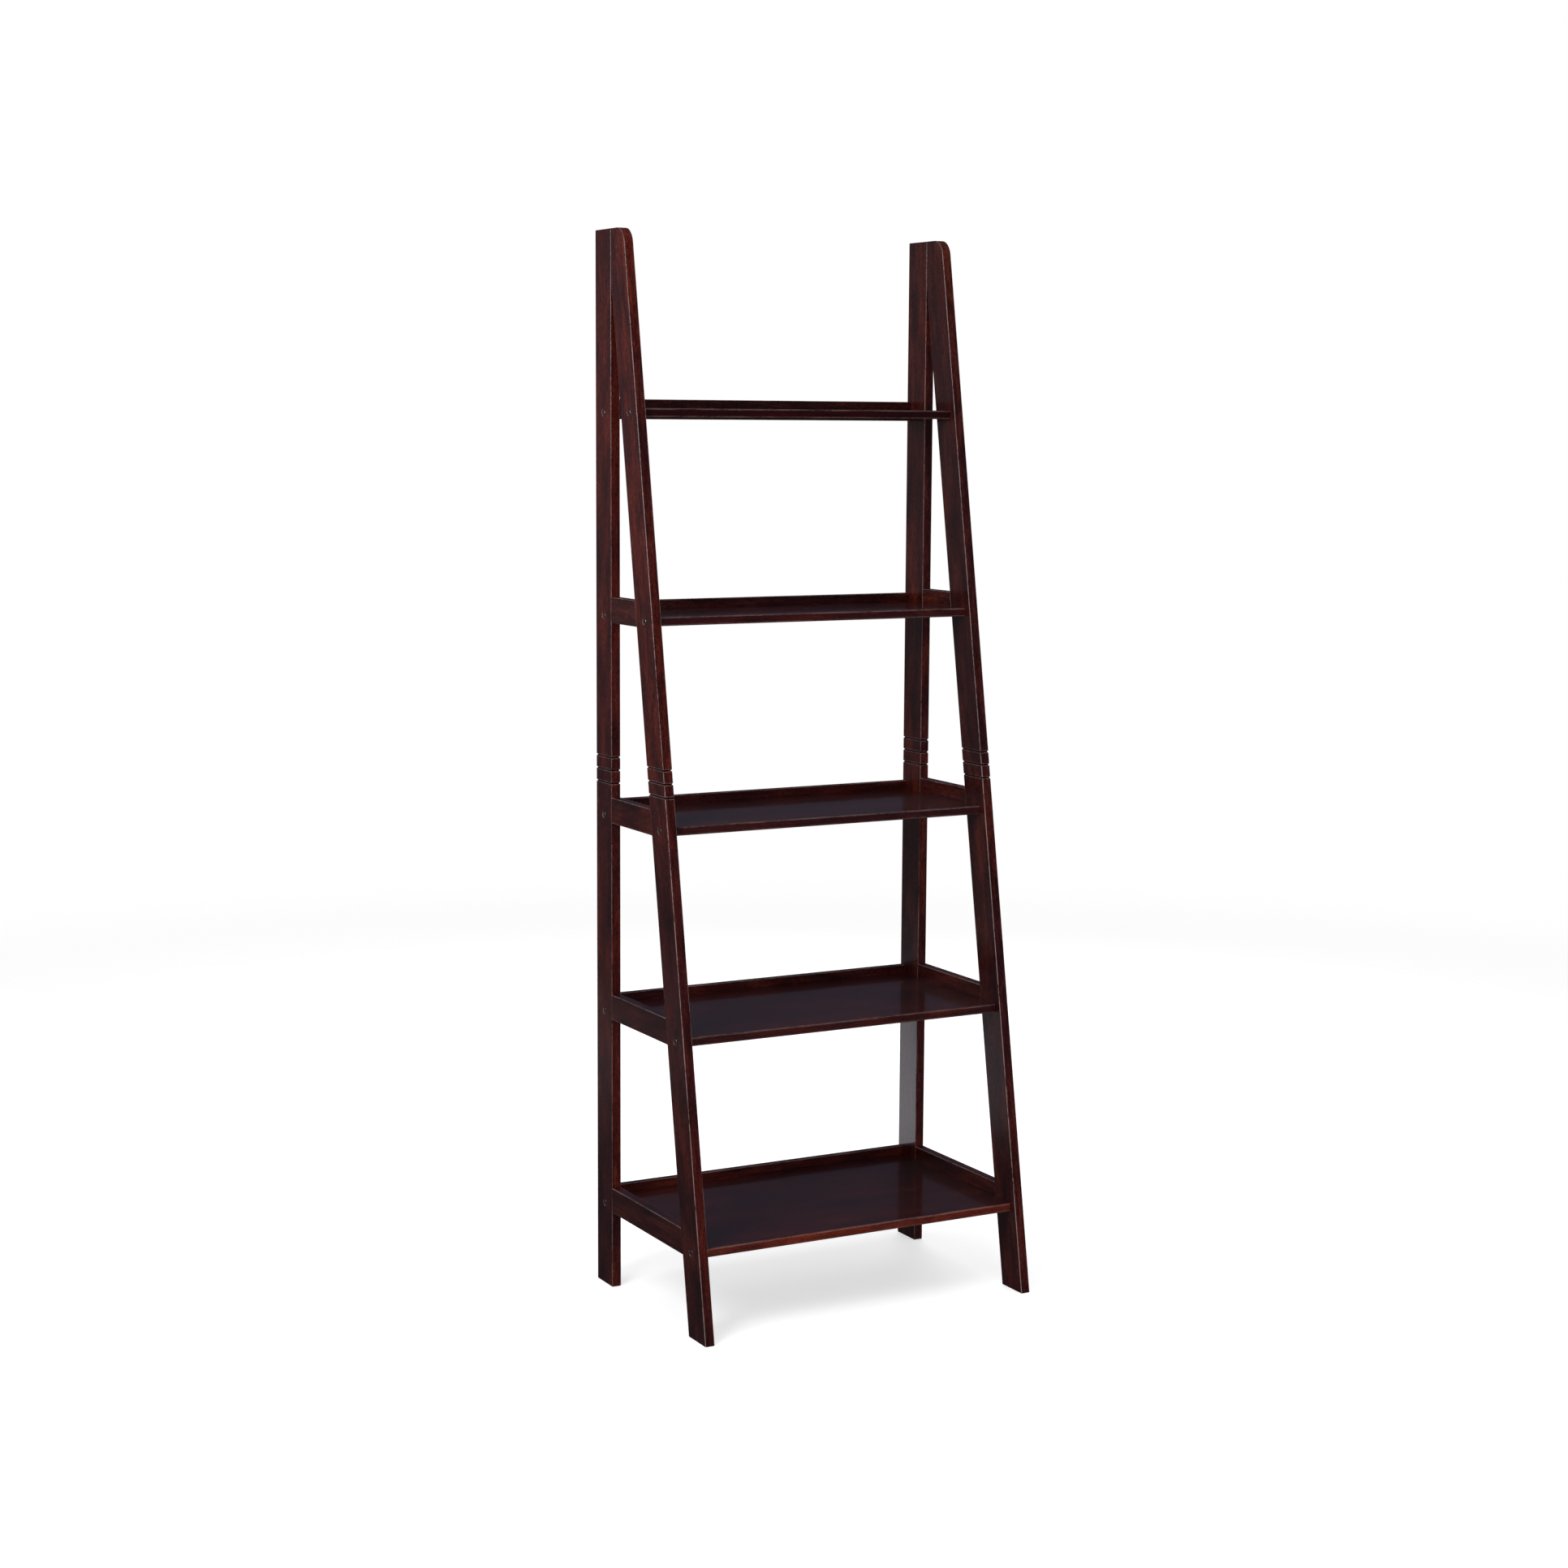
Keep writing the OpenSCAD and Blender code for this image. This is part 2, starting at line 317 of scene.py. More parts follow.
def cherry(name, grain, lean=0.0, gloss=0.6, contrast=1.0):
    """Cherry with a dark red-brown stain under lacquer. Its grain runs along the axis called grain."""
    material = bpy.data.materials.new(name)
    material.use_nodes = True
    tree = material.node_tree
    tree.nodes.clear()
    start = Signal(tree)
    place = start.node("ShaderNodeTexCoord", None, None, "Object")
    axes = start.node("ShaderNodeSeparateXYZ", None, {"Vector": place})
    plank = start.node("ShaderNodeAttribute", {"attribute_name": "plank"}, None, "Fac")
    along = axes.out(grain)
    across, through = [axes.out(axis) for axis in "XYZ" if axis != grain]
    if lean:
        through = through - along * lean

    def stretched(length, width):
        """Object coordinates shifted for each plank, in units of length along the grain and width across."""
        parts = {
            "X": along * (1 / length) + plank * 37.0,
            "Y": across * (1 / width) + plank * 11.0,
            "Z": through * (1 / width) + plank * 23.0,
        }
        return start.node("ShaderNodeCombineXYZ", None, parts)

    figure = stretched(0.55, 0.05).noise(1.0, 2.0, 0.45, 0.5)
    streaks = stretched(0.060, 0.0034).noise(1.0, 3.0, 0.6, 0.2)
    rings = start.math("SINE", (figure * 46.0) + (streaks * 5.0)) * 0.5 + 0.5
    fibres = stretched(0.0070, 0.0015).noise(1.0, 3.0, 0.70)
    pores = stretched(0.0045, 0.0006).noise(1.0, 1.0, 0.5).rise(0.60, 0.72)
    blotches = stretched(0.100, 0.030).noise(1.0, 4.0, 0.55, 0.4)
    warmth = stretched(0.24, 0.060).noise(1.0, 2.0, 0.5, 0.4).rise(0.36, 0.64)

    uneven = (streaks - 0.5) * 0.65 + (rings - 0.5) * 0.07 + (fibres - 0.5) * 1.3 + (blotches - 0.5) * 1.0
    shade = uneven * contrast + 0.5
    stops = [
        (0.22, (0.0130, 0.0022, 0.0022)),
        (0.44, (0.0400, 0.0056, 0.0044)),
        (0.62, (0.0720, 0.0110, 0.0072)),
        (0.85, (0.1300, 0.0300, 0.0150)),
    ]
    stain = start.node("ShaderNodeValToRGB", {"stops": stops}, {"Fac": shade})
    stain = stain.tinted(warmth.between((0.82, 0.84, 1.12, 1), (1.20, 1.04, 0.82, 1)))
    # The tone attribute holds each piece's tone, and on its front faces the painted light and shade given
    # for them.
    stain = stain.tinted(start.node("ShaderNodeAttribute", {"attribute_name": "tone"}, None, "Color"))
    stain = (pores * 0.6).between(stain, (0.010, 0.0015, 0.0012, 1))
    wear_and_light_mark = start.node("ShaderNodeAttribute", {"attribute_name": "wear"}, None, "Fac")
    # Painted shade: in the grooves, where the attribute is below 0, the stain is drawn toward near black.
    stain = (wear_and_light_mark * -0.5).between(stain, (0.004, 0.0008, 0.0008, 1))
    # Arrises and groove lips: the light greyish pink is partly wearing of the lacquer and partly a painted
    # highlight.
    wear = start.math("MAXIMUM", wear_and_light_mark, 0.0)
    rub_and_highlight = wear * (streaks * 0.5 + fibres * 0.5).rise(0.36, 0.58)
    colour = rub_and_highlight.between(stain, (0.260, 0.185, 0.172, 1))

    grain_height = fibres * 0.5 + streaks * 0.3 - pores * 0.6
    bump = start.node("ShaderNodeBump", None, {"Strength": 0.22, "Distance": 0.0004, "Height": grain_height})
    roughness = 0.24 + fibres * 0.10 + blotches * 0.10 + rub_and_highlight * 0.05
    values = {
        "Base Color": colour,
        "Roughness": roughness,
        "Normal": bump,
        "IOR": 1.5,
        "Specular IOR Level": 0.25,
        "Coat Weight": gloss - rub_and_highlight * 0.25,
        "Coat Roughness": 0.09,
        "Coat IOR": 1.5,
    }
    surface = start.node("ShaderNodeBsdfPrincipled", None, values)
    start.node("ShaderNodeOutputMaterial", None, {"Surface": surface})
    return material


def finish_timber(piece, material, node, tone, front_painted_light=None):
    """Smooth shading, the attributes that the stain reads, with a tone of painted light and shade for the
    front faces where one is given, the finish, and the CAD node this piece stands for.
    """
    piece.data.set_sharp_from_angle(angle=math.radians(34))
    smoothing = piece.modifiers.new("normals", "WEIGHTED_NORMAL")
    smoothing.keep_sharp = True
    settle(piece)
    piece.name = node + "_timber"
    mesh = piece.data
    mesh.materials.clear()
    mesh.materials.append(material)
    for face in mesh.polygons:
        face.material_index = 0
    plank = board_order.random()
    offsets = mesh.attributes.new("plank", "FLOAT", "FACE")
    tones = mesh.attributes.new("tone", "FLOAT_COLOR", "FACE")
    for face, offset, colour in zip(mesh.polygons, offsets.data, tones.data):
        offset.value = plank
        # Front faces take their painted light and shade in place of the piece's tone.
        chosen = front_painted_light if front_painted_light and face.normal.y < -0.4 else tone
        colour.color = (*chosen, 1)
    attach(piece, "root")
    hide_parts(node)


post_cherry = cherry("cherry_post", "Z")
post_tones = {
    "left": {"lower": (1.08, 1.02, 1.0), "upper": (1.08, 0.84, 0.76)},
    "right": {"lower": (0.92, 0.92, 0.95), "upper": (0.95, 0.88, 0.85)},
}
for side, sign in SIDES.items():
    for half, tone in post_tones[side].items():
        stations, groove_shade_and_lip_highlight = post_stations(half)
        rings = []
        for z, inset in stations:
            low = (min(sign * outer_x, sign * inner_x) + inset, post_front_y + inset)
            high = (max(sign * outer_x, sign * inner_x) - inset, back_y - inset)
            outline = rounded_outline(low, high, [arris_radius] * 4)
            rings.append([(x, y, z) for x, y in outline])
        post = loft(f"rear_post_{half}_{side}", rings, groove_shade_and_lip_highlight, [post_wear_and_highlight] * 4)
        places = [bolt_places(shelf)["rear"] for shelf in SHELVES]
        here = [place for place in places if (place[1] < joint_z) == (half == "lower")]
        drill(post, [counterbored_hole(sign, *place) for place in here])
        finish_timber(post, post_cherry, f"rear_leg_{half}_{side}", tone)

# ---------------------------------------------------------------------------------------------
# Front legs: the same stock as the rear legs, slanted back as they rise and cut level at the floor.
# Above the seam each is glued and dowelled face to face to its rear leg. The top front corner is
# rounded on the spindle, and the joint, grooves and bolt holes are like the rear legs'.

CORNER_STEPS = 8
corner_sweep = math.radians(72)
least_station_gap = 0.0001
station_tolerance = 1e-6
# The legs' arrises are lightened partly by wearing and partly by a painted highlight.
leg_wear_and_highlight = 0.8
top_corner_radius = 0.030
front_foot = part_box("front_leg_lower_left")
front_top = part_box("front_leg_upper_left")
lean = (front_top[0].y - front_foot[0].y) / (joint_z + groove_half_width)
leg_front_foot_y = front_foot[0].y
leg_run = front_foot[1].y - leg_front_foot_y - lean * (joint_z - groove_half_width)
lean_angle = math.atan(lean)
corner_z = height - top_corner_radius
corner_y = leg_front_foot_y + lean * corner_z + top_corner_radius / math.cos(lean_angle)


def leg_front_y(z):
    """Front edge of a front leg at a height: the slant, then the rounded corner at the top."""
    if z <= corner_z + top_corner_radius * math.sin(lean_angle):
        return leg_front_foot_y + lean * z
    rise = min(z - corner_z, top_corner_radius)
    return corner_y - math.sqrt(top_corner_radius ** 2 - rise ** 2)


def leg_back_y(z):
    """Back edge of a front leg at a height: the slant, then the face of the rear leg."""
    return min(leg_front_foot_y + lean * z + leg_run, post_front_y)


seam_z = (post_front_y - leg_front_foot_y - leg_run) / lean
leg_cherry = cherry("cherry_slanted_leg", "Z", lean)
leg_tones = {
    "left": {"lower": (1.05, 0.98, 0.98), "upper": (1.30, 1.10, 1.00)},
    "right": {"lower": (0.74, 0.76, 0.92), "upper": (0.72, 0.76, 0.85)},
}
# Painted shade on the legs' front faces: a tone of their own, darker than the other faces, most on the left
# legs.
leg_front_painted_light = {
    "left": {"lower": (0.90, 0.74, 0.68), "upper": (0.80, 0.60, 0.56)},
    "right": {"lower": (0.76, 0.72, 0.85), "upper": (0.72, 0.72, 0.80)},
}
# The front arris of each front leg: lightened by wearing and by a painted highlight, most of all down the
# right lower leg.
front_arris_wear_and_highlight = {"left": {"lower": 1.2, "upper": 0.8}, "right": {"lower": 1.7, "upper": 0.8}}
for side, sign in SIDES.items():
    for half, tone in leg_tones[side].items():
        stations, groove_shade_and_lip_highlight = post_stations(half)
        if half == "upper":
            corner = []
            for step in range(CORNER_STEPS + 1):
                angle = lean_angle + (corner_sweep - lean_angle) * step / CORNER_STEPS
                corner.append((corner_z + top_corner_radius * math.sin(angle), 0))
            end_z = height - foot_ease
            top = [(z, inset) for z, inset in stations if z > end_z - station_tolerance]
            below = [(z, inset) for z, inset in stations if z <= end_z - station_tolerance]
            corner = [(z, inset) for z, inset in corner if z < end_z - least_station_gap]
            stations = below + [(seam_z, 0)] + corner + top
        rings = []
        for z, inset in stations:
            low = (min(sign * outer_x, sign * inner_x) + inset, leg_front_y(z) + inset)
            high = (max(sign * outer_x, sign * inner_x) - inset, leg_back_y(z) - inset)
            outline = rounded_outline(low, high, [arris_radius] * 4)
            rings.append([(x, y, z) for x, y in outline])
        arris_wear_and_highlight = [front_arris_wear_and_highlight[side][half]] + [leg_wear_and_highlight] * 3
        leg = loft(f"front_leg_{half}_{side}", rings, groove_shade_and_lip_highlight, arris_wear_and_highlight)
        places = [bolt_places(shelf)["front"] for shelf in SHELVES]
        here = [place for place in places if (place[1] < joint_z) == (half == "lower")]
        drill(leg, [counterbored_hole(sign, *place) for place in here])
        finish_timber(leg, leg_cherry, f"front_leg_{half}_{side}", tone, leg_front_painted_light[side][half])

# ---------------------------------------------------------------------------------------------
# Side rails: short cherry rails that tie a front leg to its rear leg beside the four lower shelves.
# Each has two dowels at either end. Its front end is cut to the slant of the leg, its arrises are
# eased like the legs', and so are its ends, which leaves a fine V-line at each joint.

RAILED_SHELVES = range(1, 5)
rail_arris_radius = 0.0010
# The side rails' arrises are lightened partly by wearing and partly by a painted highlight.
rail_wear_and_highlight = 0.8
# Painted shade on the side rails: deepest on the lowest rail, less by a step on each rail up.
rail_painted_shade = 0.74
rail_painted_shade_step = 0.07
rail_cherry = cherry("cherry_side_rail", "Y")


def rail_section(low, high, inset):
    """The outline of a side rail, drawn in by an inset, as (x, z)."""
    low_corner = (low.x + inset, low.z + inset)
    high_corner = (high.x - inset, high.z - inset)
    return rounded_outline(low_corner, high_corner, [rail_arris_radius] * 4)


for shelf in RAILED_SHELVES:
    for side in SIDES:
        low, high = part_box(f"side_rail_{shelf}_{side}")
        rings = []
        for setback, inset in eased_end(0, 1, joint_ease):
            rings.append([(x, leg_back_y(z) + setback, z) for x, z in rail_section(low, high, inset)])
        for setback, inset in eased_end(0, 1, joint_ease)[::-1]:
            rings.append([(x, post_front_y - setback, z) for x, z in rail_section(low, high, inset)])
        rail = loft(f"side_rail_{shelf}_{side}", rings, arris_wear_and_highlight=[rail_wear_and_highlight] * 4)
        # Painted shade, less with each rail up.
        shade = rail_painted_shade + rail_painted_shade_step * shelf
        finish_timber(rail, rail_cherry, f"side_rail_{shelf}_{side}", (shade, shade, shade))

# ---------------------------------------------------------------------------------------------
# Shelf boards: five planed cherry boards, the same width and each shallower than the one below.
# The front corners are rounded over. In the underside near each end are the blind holes
# for the barrel nuts that the shelf bolts screw into.

board_front_radius = 0.0025
board_back_radius = 0.0008
nut_radius = 0.005
nut_length = 0.010
nut_hole_radius = nut_radius + 0.00005
nut_hole_chamfer = 0.0003
# The boards' arrises are lightened partly by wearing and partly by a painted highlight.
board_front_wear_and_highlight = 0.3
board_back_wear_and_highlight = 0.6
board_cherry = cherry("cherry_board", "X", gloss=0.75, contrast=0.55)
board_tones = {
    1: (0.68, 0.80, 1.05),
    2: (0.72, 0.82, 1.02),
    3: (0.80, 0.86, 1.02),
    4: (0.78, 0.80, 0.92),
    5: (0.78, 0.82, 0.88),
}
# Painted light and shade on the boards' front edges: the lowest painted bright and orange, the top one
# painted dark.
board_edge_painted_light = {
    1: (2.15, 2.30, 1.40),
    2: (0.80, 1.00, 1.10),
    3: (0.66, 0.75, 0.90),
    4: (0.66, 0.65, 0.80),
    5: (0.32, 0.10, 0.15),
}


def nut_hole(x, y, underside, depth):
    """The shape of a barrel nut's blind hole, with a fine chamfer at its mouth."""
    profile = [
        (-cutter_overshoot, nut_radius + nut_hole_chamfer + cutter_overshoot),
        (nut_hole_chamfer, nut_hole_radius),
        (depth, nut_hole_radius),
    ]
    rings = []
    for rise, radius in profile:
        ring = []
        for step in range(HOLE_SIDES):
            angle = math.tau * step / HOLE_SIDES
            ring.append((x + radius * math.cos(angle), y + radius * math.sin(angle), underside + rise))
        rings.append(ring)
    return loft("nut_hole", rings)


for shelf in SHELVES:
    low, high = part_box(f"shelf_board_{shelf}")
    radii = [board_front_radius, board_back_radius, board_back_radius, board_front_radius]
    ends = eased_end(low.x, 1, joint_ease) + eased_end(high.x, -1, joint_ease)[::-1]
    rings = []
    for x, inset in ends:
        outline = rounded_outline((low.y + inset, low.z + inset), (high.y - inset, high.z - inset), radii)
        rings.append([(x, y, z) for y, z in outline])
    arris_wear_and_highlight = [board_front_wear_and_highlight, board_back_wear_and_highlight, board_back_wear_and_highlight, board_front_wear_and_highlight]
    board = loft(f"board_{shelf}", rings, arris_wear_and_highlight=arris_wear_and_highlight)
    nut_low, nut_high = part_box(f"barrel_nuts_{shelf}")
    nut_depth = nut_high.z - low.z
    holes = []
    for x in (nut_low.x + nut_radius, nut_high.x - nut_radius):
        for y, z in bolt_places(shelf).values():
            holes.append(nut_hole(x, y, low.z, nut_depth))
    drill(board, holes)
    finish_timber(board, board_cherry, f"shelf_board_{shelf}", board_tones[shelf],
                  board_edge_painted_light[shelf])

# ---------------------------------------------------------------------------------------------
# Back rails: one thin cherry rail across the back of each board, standing a little above and below
# it to keep things from sliding off. Three small dowels pin it to the board, and its long arrises
# are rounded over.

back_rail_arris_radius = 0.0011
# The back rails' arrises are lightened partly by wearing and partly by a painted highlight.
back_rail_wear_and_highlight = 0.5
back_rail_tone = (0.55, 0.55, 0.6)
back_rail_cherry = cherry("cherry_back_rail", "X")
for shelf in SHELVES:
    low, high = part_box(f"back_rail_{shelf}")
    ends = eased_end(low.x, 1, joint_ease) + eased_end(high.x, -1, joint_ease)[::-1]
    rings = []
    for x, inset in ends:
        outline = rounded_outline(
            (low.y + inset, low.z + inset), (high.y - inset, high.z - inset), [back_rail_arris_radius] * 4)
        rings.append([(x, y, z) for y, z in outline])
    back_rail = loft(f"back_rail_{shelf}", rings, arris_wear_and_highlight=[back_rail_wear_and_highlight] * 4)
    finish_timber(back_rail, back_rail_cherry, f"back_rail_{shelf}", back_rail_tone)

# ---------------------------------------------------------------------------------------------
# Shelf bolts: four to a shelf, zinc-plated steel with a chamfered cylindrical head and a hex socket.
# They lie in the legs' counterbores and run into the ends of the board, each turned as it stopped.

bolt_sizes = {
    "Head Diameter": 2 * bolt_head_radius,
    "Head Height": 0.006,
    "Rim Chamfer": 0.0006,
    "Shank Diameter": 0.006,
    "Shank Length": 0.050,
    "Socket Width": 0.005,
    "Socket Depth": 0.0035,
}


def sized_tree(name, sizes):
    """A Geometry Nodes tree with an input for each size, for its seed and for its finish."""
    tree = bpy.data.node_groups.new(name, "GeometryNodeTree")
    tree.interface.new_socket("Places", in_out="INPUT", socket_type="NodeSocketGeometry")
    for label in sizes:
        tree.interface.new_socket(label, in_out="INPUT", socket_type="NodeSocketFloat")
    tree.interface.new_socket("Seed", in_out="INPUT", socket_type="NodeSocketInt")
    tree.interface.new_socket("Finish", in_out="INPUT", socket_type="NodeSocketMaterial")
    tree.interface.new_socket("Made", in_out="OUTPUT", socket_type="NodeSocketGeometry")
    return tree


def rimmed_cylinder(start, diameter, length, chamfer):
    """An upright cylinder about the origin, with a chamfer round its top."""
    settings = {"fill_type": "NGON"}
    values = {"Vertices": 48, "Side Segments": 2, "Radius": diameter * 0.5, "Depth": length}
    body = start.node("GeometryNodeMeshCylinder", settings, values, "Mesh")
    place = start.node("ShaderNodeSeparateXYZ", None, {"Vector": start.node("GeometryNodeInputPosition")})
    top = place.out("Z") > length * 0.25
    bottom = place.out("Z") < length * -0.25
    narrowing = 1 - top * start.math("DIVIDE", chamfer * 2, diameter)
    raised = place.out("Z") + (1 - top - bottom) * (length * 0.5 - chamfer)
    parts = {"X": place.out("X") * narrowing, "Y": place.out("Y") * narrowing, "Z": raised}
    moved = start.node("ShaderNodeCombineXYZ", None, parts)
    return start.node("GeometryNodeSetPosition", None, {"Geometry": body, "Position": moved})


def shifted(start, solid, **offset):
    """A solid moved along X, Y or Z."""
    move = start.node("ShaderNodeCombineXYZ", None, offset)
    return start.node("GeometryNodeTransform", None, {"Geometry": solid, "Translation": move})


def minus(start, solid, cutter):
    """What is left of a solid when a cutter is taken out of it."""
    settings = {"operation": "DIFFERENCE", "solver": "EXACT"}
    return start.node("GeometryNodeMeshBoolean", settings, {"Mesh 1": solid, "Mesh 2": cutter}, "Mesh")


def place_each(start, sizes, solid, turned):
    """Stands a solid at every place, faces it the way that the place says and gives it its finish."""
    facing = start.node("GeometryNodeInputNamedAttribute", {"data_type": "FLOAT"}, {"Name": "facing"})
    tilt = start.node("ShaderNodeCombineXYZ", None, {"Y": facing})
    values = {
        "Points": sizes.out("Places"),
        "Instance": solid,
        "Rotation": start.node("FunctionNodeEulerToRotation", None, {"Euler": tilt}),
    }
    stood = start.node("GeometryNodeInstanceOnPoints", None, values)
    chance = {2: -turned, 3: turned, "Seed": sizes.out("Seed")}
    spin = start.node("FunctionNodeRandomValue", {"data_type": "FLOAT"}, chance, 1)
    spin = start.node("ShaderNodeCombineXYZ", None, {"Z": spin})
    values = {
        "Instances": stood,
        "Rotation": start.node("FunctionNodeEulerToRotation", None, {"Euler": spin}),
        "Local Space": True,
    }
    turned_solids = start.node("GeometryNodeRotateInstances", None, values)
    real = start.node("GeometryNodeRealizeInstances", None, {"Geometry": turned_solids})
    made = start.node("GeometryNodeSetMaterial", None, {"Geometry": real, "Material": sizes.out("Finish")})
    start.node("NodeGroupOutput", None, {"Made": made})


def grow(name, tree, places, facings, sizes, seed, finish):
    """Runs a tree on a set of places and keeps the result as a plain mesh."""
    mesh = bpy.data.meshes.new(name)
    mesh.from_pydata(places, [], [])
    ways = mesh.attributes.new("facing", "FLOAT", "POINT")
    for way, facing in zip(ways.data, facings):
        way.value = facing
    piece = bpy.data.objects.new(name, mesh)
    bpy.context.scene.collection.objects.link(piece)
    modifier = piece.modifiers.new("made", "NODES")
    modifier.node_group = tree
    wanted = {**sizes, "Seed": seed, "Finish": finish}
    for item in tree.interface.items_tree:
        if item.in_out == "INPUT" and item.name in wanted:
            modifier[item.identifier] = wanted[item.name]
    settle(piece)
    piece.data.shade_smooth()
    piece.data.set_sharp_from_angle(angle=math.radians(30))
    return piece


def zinc(name, colour, roughness):
    """Zinc plating, dulled in patches and finely scratched by turning and handling."""
    material = bpy.data.materials.new(name)
    material.use_nodes = True
    tree = material.node_tree
    tree.nodes.clear()
    start = Signal(tree)
    place = start.node("ShaderNodeTexCoord", None, None, "Object")
    spangle = place.noise(900.0, 3.0, 0.6)
    dull = place.noise(260.0, 4.0, 0.6, 0.4).rise(0.40, 0.68)
    scratches = place.noise(4200.0, 1.0, 0.5, 1.5)
    dark = tuple(0.45 * part for part in colour)
    plated = (dull * 0.6 + spangle * 0.3).between((*colour, 1), (*dark, 1))
    bump = start.node(
        "ShaderNodeBump", None, {"Strength": 0.15, "Distance": 0.0001, "Height": scratches + spangle})
    values = {
        "Base Color": plated,
        "Metallic": 1.0,
        "Roughness": roughness + dull * 0.2 + scratches * 0.1,
        "Normal": bump,
    }
    surface = start.node("ShaderNodeBsdfPrincipled", None, values)
    start.node("ShaderNodeOutputMaterial", None, {"Surface": surface})
    return material


bolt_tree = sized_tree("hex_socket_bolt", bolt_sizes)
start = Signal(bolt_tree)
sizes = start.node("NodeGroupInput")
head_height = sizes.out("Head Height")
head = rimmed_cylinder(start, sizes.out("Head Diameter"), head_height, sizes.out("Rim Chamfer"))
head = shifted(start, head, Z=head_height * 0.5)
hexagon = {
    "Vertices": 6,
    "Radius": sizes.out("Socket Width") * (0.5 / math.cos(math.radians(30))),
    "Depth": sizes.out("Socket Depth") * 2,
}
hexagon = start.node("GeometryNodeMeshCylinder", {"fill_type": "NGON"}, hexagon, "Mesh")
head = minus(start, head, shifted(start, hexagon, Z=head_height))
shank = rimmed_cylinder(
    start, sizes.out("Shank Diameter"), sizes.out("Shank Length"), sizes.out("Rim Chamfer") * 0.5)
shank = shifted(start, shank, Z=sizes.out("Shank Length") * -0.5)
bolt = start.node("GeometryNodeJoinGeometry")
for solid in (head, shank):
    bolt_tree.links.new(solid.socket, bolt.socket.node.inputs[0])
place_each(start, sizes, bolt, math.radians(30))

bolt_zinc = zinc("zinc_plated_bolt", (0.36, 0.35, 0.36), 0.32)
for shelf in SHELVES:
    low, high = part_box(f"shelf_bolts_{shelf}")
    places = []
    facings = []
    for sign in SIDES.values():
        for y, z in bolt_places(shelf).values():
            places.append((sign * (high.x - bolt_sizes["Head Height"]), y, z))
            facings.append(sign * math.radians(90))
    bolts = grow(f"bolts_{shelf}", bolt_tree, places, facings, bolt_sizes, 7 * shelf, bolt_zinc)
    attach(bolts, "root")
    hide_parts(f"shelf_bolts_{shelf}")

# ---------------------------------------------------------------------------------------------
# Barrel nuts: turned steel cylinders pushed up into the blind holes under the boards, with a cross
# hole for the bolt and a slot underneath that a screwdriver lines them up by.

nut_sizes = {
    "Diameter": 2 * nut_radius,
    "Length": nut_length,
    "Rim Chamfer": 0.0004,
    "Cross Hole": 0.006,
    "Slot Width": 0.0014,
    "Slot Depth": 0.0014,
}
nut_tree = sized_tree("barrel_nut", nut_sizes)
start = Signal(nut_tree)
sizes = start.node("NodeGroupInput")
nut = rimmed_cylinder(start, sizes.out("Diameter"), sizes.out("Length"), sizes.out("Rim Chamfer"))
cross = {"Vertices": 32, "Radius": sizes.out("Cross Hole") * 0.5, "Depth": sizes.out("Diameter") * 2}
cross = start.node("GeometryNodeMeshCylinder", {"fill_type": "NGON"}, cross, "Mesh")
cross = start.node("GeometryNodeTransform", None, {"Geometry": cross, "Rotation": (0, math.radians(90), 0)})
nut = minus(start, nut, cross)
bar = {"X": sizes.out("Diameter") * 2, "Y": sizes.out("Slot Width"), "Z": sizes.out("Slot Depth") * 2}
bar = start.node("ShaderNodeCombineXYZ", None, bar)
bar = start.node("GeometryNodeMeshCube", None, {"Size": bar}, "Mesh")
nut = minus(start, nut, shifted(start, bar, Z=sizes.out("Length") * 0.5))
place_each(start, sizes, nut, math.radians(2))

nut_zinc = zinc("zinc_plated_nut", (0.66, 0.65, 0.63), 0.32)
for shelf in SHELVES:
    low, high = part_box(f"barrel_nuts_{shelf}")
    places = []
    for x in (low.x + nut_radius, high.x - nut_radius):
        for y, z in bolt_places(shelf).values():
            places.append((x, y, (low.z + high.z) / 2))
    upside_down = [math.radians(180)] * len(places)
    nuts = grow(f"nuts_{shelf}", nut_tree, places, upside_down, nut_sizes, 11 * shelf, nut_zinc)
    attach(nuts, "root")
    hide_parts(f"barrel_nuts_{shelf}")

# ---------------------------------------------------------------------------------------------
# Dowels: bare beech pins, glued into the leg joints, the top joints, the side rails and the back
# rails. They lie wholly inside the joints, and keep the shapes that the frame gives them.


def beech(name, grain):
    """Bare beech with its short dark flecks. Its grain runs along the axis called grain."""
    material = bpy.data.materials.new(name)
    material.use_nodes = True
    tree = material.node_tree
    tree.nodes.clear()
    start = Signal(tree)
    place = start.node("ShaderNodeTexCoord", None, None, "Object")
    axes = start.node("ShaderNodeSeparateXYZ", None, {"Vector": place})
    parts = {axis: axes.out(axis) * (60.0 if axis == grain else 900.0) for axis in "XYZ"}
    stretched = start.node("ShaderNodeCombineXYZ", None, parts)
    streaks = stretched.noise(1.0, 4.0, 0.6)
    flecks = stretched.noise(3.0, 1.0).rise(0.60, 0.72)
    colour = streaks.between((0.42, 0.26, 0.13, 1), (0.66, 0.47, 0.28, 1))
    colour = (flecks * 0.6).between(colour, (0.26, 0.14, 0.07, 1))
    bump = start.node("ShaderNodeBump", None, {"Strength": 0.3, "Distance": 0.0002, "Height": streaks})
    values = {"Base Color": colour, "Roughness": 0.55 + streaks * 0.2, "Normal": bump}
    surface = start.node("ShaderNodeBsdfPrincipled", None, values)
    start.node("ShaderNodeOutputMaterial", None, {"Surface": surface})
    return material


